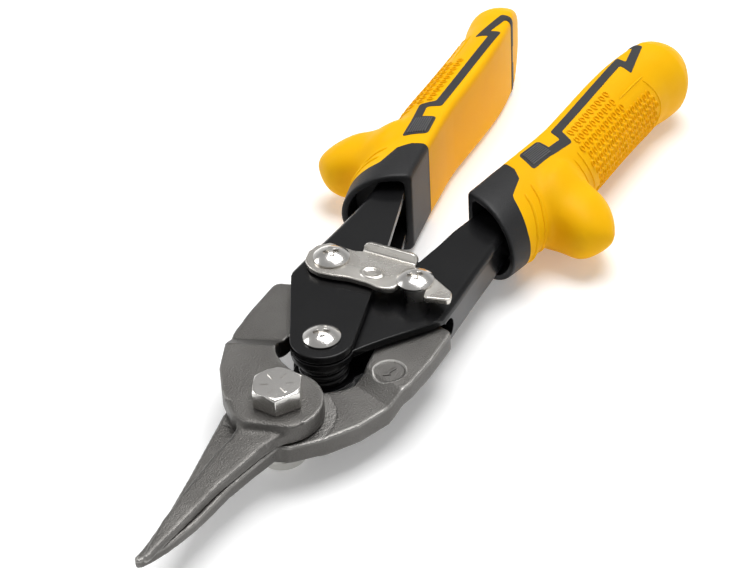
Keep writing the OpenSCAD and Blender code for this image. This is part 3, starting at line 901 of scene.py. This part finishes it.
# %% Ring texture
def small_ring(outer, inner, high):
    """A ring of four loops: its two feet sunk in the skin, and a narrow crest."""
    bm = bmesh.new()
    crest = (outer + inner) / 2
    loops = [(outer, -0.2), (crest + 0.08, high), (crest - 0.08, high), (inner, -0.2)]
    rings = []
    for r, z in loops:
        ring = bmesh.ops.create_circle(bm, segments=12, radius=r)["verts"]
        bmesh.ops.translate(bm, verts=ring, vec=(0, 0, z))
        rings.append(ring)
    for a, b in zip(rings, rings[1:] + rings[:1]):
        members = set(a) | set(b)
        edges = [e for e in bm.edges if e.verts[0] in members and e.verts[1] in members]
        flat = [e for e in edges if (e.verts[0] in a) == (e.verts[1] in a)]
        bmesh.ops.bridge_loops(bm, edges=flat)
    bmesh.ops.recalc_face_normals(bm, faces=bm.faces)
    return bm


tree_of_skin = BVHTree.FromBMesh(body_skin)


def on_skin(x, angle):
    """Where a ray from outside, at this angle round the grip, meets the skin."""
    centre = Vector((x, along(inner_face, x) + 6, 0))
    way = Vector((0, cos(angle), sin(angle)))
    hit = tree_of_skin.ray_cast(centre + way * 40, -way)
    return hit[0], hit[1]


def field_front(angle):
    return 131 - 4 * cos(angle) - 3.4 * sin(angle)


def field_rear(angle):
    return 166 - 5 * (1 - cos(angle * 1.1))


rings = bmesh.new()
ring_one = small_ring(1.08, 0.46, 0.42)
bmesh.ops.scale(ring_one, verts=ring_one.verts, vec=(0.84, 1.28, 1))
ring_mesh = bpy.data.meshes.new("ring_one")
ring_one.to_mesh(ring_mesh)
ring_one.free()
row_pitch = 3.15
ring_pitch = 2.35
field_r = 13.2
plain_x = 151
plain_angle = 0.95
count = 0
for row in range(-6, 7):
    angle = row * row_pitch / field_r
    x = 122 + (ring_pitch / 2 if row % 2 else 0)
    while x < 168:
        x += ring_pitch
        # The field leaves a plain corner at the top of its rear end
        if not field_front(angle) < x < field_rear(angle) or (angle > plain_angle and x > plain_x):
            continue
        place, normal = on_skin(x, angle)
        if place is None:
            continue
        along_grip = (Vector((1, 0, 0)) - normal * normal.x).normalized()
        turn = Matrix((along_grip, normal.cross(along_grip), normal)).transposed().to_4x4()
        first = len(rings.verts)
        rings.from_mesh(ring_mesh)
        rings.verts.ensure_lookup_table()
        bmesh.ops.transform(rings, matrix=Matrix.Translation(place) @ turn, verts=rings.verts[first:])
        count += 1
bpy.data.meshes.remove(ring_mesh)
print("rings", count)

# %% Raised beads round the texture field and ahead of the guard
def bead(path, radius, bm):
    """A thin round bead along points on the skin, sunk by half."""
    loops = []
    for i, (p, normal) in enumerate(path):
        ahead = path[min(i + 1, len(path) - 1)][0] - path[max(i - 1, 0)][0]
        ahead.normalize()
        side = normal.cross(ahead).normalized()
        small = radius * (0.25 if i in (0, len(path) - 1) else 1.0)
        turns = [2 * pi * k / 8 for k in range(8)]
        loops.append([p + side * small * cos(t) + normal * small * sin(t) for t in turns])
    skin_over(loops, bm)


def skin_path(points):
    found = [on_skin(x, a) for x, a in points]
    return [(p, n) for p, n in found if p is not None]


bead_r = 0.32
neck_rib_r = 0.5
beads = bmesh.new()
for path in ([(field_rear(a / 20) + 1.6, a / 20) for a in range(-22, 23, 2)],
             [(field_front(a / 20) - 1.7, a / 20) for a in range(-6, 21, 2)],
             [(field_front(a / 20) - 4.6, a / 20) for a in range(0, 20, 2)],
             [(x, 0.98 + 0.001 * x) for x in range(152, 168, 2)]):
    bead(skin_path(path), bead_r, beads)
neck_ribs = (
    [(98.6, 22.3, 10.6), (96.8, 25.3, 8.4), (94.6, 27.4, 5.4), (93.1, 28.4, 2.4), (92.3, 28.7, -1.1),
     (92.6, 27.9, -5), (94, 26, -8.6), (96.6, 22.8, -11)],
    [(103.1, 22.0, 11.0), (100.9, 25.7, 8.4), (98.2, 28.0, 4.9), (96.9, 28.8, 1.2), (96.8, 28.7, -2),
     (97.9, 27.9, -5.5), (99.6, 26, -8.8), (102, 23, -11)])
for row in neck_ribs:
    points = []
    for i in range(4 * (len(row) - 1) + 1):
        k = min(i // 4, len(row) - 2)
        t = (i - 4 * k) / 4
        spot = Vector(row[k]).lerp(Vector(row[k + 1]), t)
        near, normal, *_ = tree_of_skin.find_nearest(spot)
        points.append((near, normal))
    bead(points, neck_rib_r, beads)
print("beads", len(beads.faces), "faces")

# %% [markdown]
# The collar is the front of the hard core. Its mouth is cut on a slant, so
# the loops are slid along the tool to lie on that slant. They run forward
# over the outer side, round the lip, and back down the inside of the cup.

# %% Collar
mouth_wall = 2.0
cup_depth = 7.6
mouth_x = 91
mouth_y = 9
mouth_slant = 0.478
collar_end = 111


def slanted_loop(back, inset, rear=0.0):
    """The grip's section, inset, this far behind the slanted mouth."""
    points = []
    for k, (x, y, z) in enumerate(d_section(mouth_x, inset)):
        for _ in range(3):
            x = mouth_x - mouth_slant * (y - mouth_y) + back
            x += (collar_end - x) * rear
            _, y, z = d_section(x, inset)[k]
        points.append((x, y, z))
    return points


def hard_collar():
    rears = (1, 0.8, 0.6, 0.45, 0.3, 0.17, 0.08)
    outer = [slanted_loop(0, 0.06 if rear > 0.6 else 0.0, rear) for rear in rears]
    lip = [(0.75, 0), (0.3, 0.1), (0.08, 0.32), (0, 0.7), (0, mouth_wall - 0.4), (0.1, mouth_wall - 0.12),
           (0.45, mouth_wall)]
    cup = [(cup_depth / 2, mouth_wall + 0.3), (cup_depth, mouth_wall + 0.7)]
    return skin_over(outer + [slanted_loop(*row) for row in lip + cup])


collar = combined(hard_collar(), plate_from(cover_front, -29, 29), "INTERSECT")
print("collar", len(collar.faces))


# %% Place both grips
def for_side(bm, side):
    """A copy for one side: leaned at the rear, and mirrored for the right."""
    made = bm.copy()
    for v in made.verts:
        v.co.y += -side * rear_lean * max(0.0, v.co.x - lean_from) / (grip_end - lean_from)
    if side < 0:
        bmesh.ops.scale(made, verts=made.verts, vec=(1, -1, 1))
        bmesh.ops.reverse_faces(made, faces=made.faces)
    return made


for word, side in (("left", 1), ("right", -1)):
    body = word + "_handle"
    for shape, name, finish, slot, replaced, smooth in (
            (cover, "_soft_cover", soft_yellow, "grip_cover", [word + "_grip_cover"], 40),
            (inlay, "_grip_inlay", soft_grey, "grip_core", (), 40),
            (ribs, "_inlay_ribs", rib_grey, "grip_core", (), 40),
            (rings, "_ring_texture", soft_yellow, "grip_cover", (), 60),
            (beads, "_cover_beads", soft_yellow, "grip_cover", (), 60),
            (collar, "_hard_collar", hard_plastic, "grip_core", [word + "_grip_core"], 40)):
        finish_piece(for_side(shape, side), word + name, finish, body, replaced, smooth, False)

# %% [markdown]
# ## Small CAD parts
# Washers, spacers, the sleeve and the bush are plain turned rings, and the
# CAD nodes are already right, so they only need their finish.

# %% Finish the CAD nodes
node_finish = {
    "fulcrum_sleeve": turned_steel, "fulcrum_washers": black_enamel, "left_tail_spacers": turned_steel,
    "right_tail_washers": turned_steel, "right_tail_bush": turned_steel, "latch_washer": turned_steel,
    "pivot_nut_insert": nylon}
for name, finish in node_finish.items():
    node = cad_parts[name]
    node.data.materials.clear()
    node.data.materials.append(finish)
print(len(node_finish), "CAD nodes finished")

# %% [markdown]
# ## Studio
# A pale floor, wide soft lights and a long lens. Bright metal only looks like
# metal when it has something light and something dark to reflect, so the
# lights are large panels with gaps between them.

# %% Floor
floor_finish, *_ = base_finish("pale_floor", (0.9, 0.9, 0.9), 0.0, 0.9, 200, 0.0, 0.02,
                               Emission_Color=(1, 1, 1, 1), Emission_Strength=0.22)
bm = bmesh.new()
bmesh.ops.create_grid(bm, x_segments=1, y_segments=1, size=3)
floor_mesh = bpy.data.meshes.new("studio_floor")
bm.to_mesh(floor_mesh)
bm.free()
floor_mesh.materials.append(floor_finish)
floor = bpy.data.objects.new("studio_floor", floor_mesh)
bpy.context.scene.collection.objects.link(floor)
floor.location.z = -0.0006


# %% Lights
def panel(name, place, target, size, power):
    lamp = bpy.data.lights.new(name, "AREA")
    lamp.shape = "RECTANGLE"
    lamp.size, lamp.size_y = size
    lamp.energy = power
    holder = bpy.data.objects.new(name, lamp)
    bpy.context.scene.collection.objects.link(holder)
    holder.location = place
    holder.rotation_euler = (Vector(target) - Vector(place)).to_track_quat("-Z", "Y").to_euler()


tool_centre = (0.065, 0, 0.01)
panel("overhead", (0.3, -0.02, 0.8), tool_centre, (0.6, 0.5), 7)
panel("left_panel", (-0.1, 0.8, 0.5), tool_centre, (0.45, 0.3), 1.6)
panel("right_panel", (0.2, -0.75, 0.4), tool_centre, (0.5, 0.2), 0.5)
world = bpy.data.worlds.new("studio_air")
bpy.context.scene.world = world
world.use_nodes = True
air = world.node_tree
diffuse_air = air.nodes["Background"]
diffuse_air.inputs["Color"].default_value = (1, 1, 1, 1)
diffuse_air.inputs["Strength"].default_value = 0.26
gloss_air = air.nodes.new("ShaderNodeBackground")
gloss_air.inputs["Strength"].default_value = 1.0
seen = air.nodes.new("ShaderNodeTexCoord")
height = air.nodes.new("ShaderNodeSeparateXYZ")
shades = air.nodes.new("ShaderNodeValToRGB")
shades.color_ramp.elements[0].position = 0.0
shades.color_ramp.elements[0].color = (0.75, 0.75, 0.75, 1)
shades.color_ramp.elements[1].position = 0.45
shades.color_ramp.elements[1].color = (0.34, 0.34, 0.34, 1)
air.links.new(seen.outputs["Generated"], height.inputs["Vector"])
air.links.new(height.outputs["Z"], shades.inputs["Fac"])
air.links.new(shades.outputs["Color"], gloss_air.inputs["Color"])
path = air.nodes.new("ShaderNodeLightPath")
choice = air.nodes.new("ShaderNodeMixShader")
air.links.new(path.outputs["Is Glossy Ray"], choice.inputs["Fac"])
air.links.new(diffuse_air.outputs["Background"], choice.inputs[1])
air.links.new(gloss_air.outputs["Background"], choice.inputs[2])
air.links.new(choice.outputs["Shader"], air.nodes["World Output"].inputs["Surface"])
bpy.context.scene.view_settings.view_transform = "Standard"

# %% Camera
right = Vector((0.45946911, -0.8870287, -0.04547783))
up = Vector((0.55470395, 0.24658674, 0.7946688))
ahead = Vector((0.6936798, 0.3903525, -0.60533731))
lens = bpy.data.cameras.new("studio_camera")
lens.lens = 120
lens.sensor_width = 36
lens.clip_start = 0.01
lens.clip_end = 10
camera = bpy.data.objects.new("studio_camera", lens)
bpy.context.scene.collection.objects.link(camera)
spot = Vector((-0.40554654, -0.25775316, 0.40476319 + mid_height / 1000))
camera.matrix_world = Matrix.Translation(spot) @ Matrix((right, up, -ahead)).transposed().to_4x4()
bpy.context.scene.camera = camera
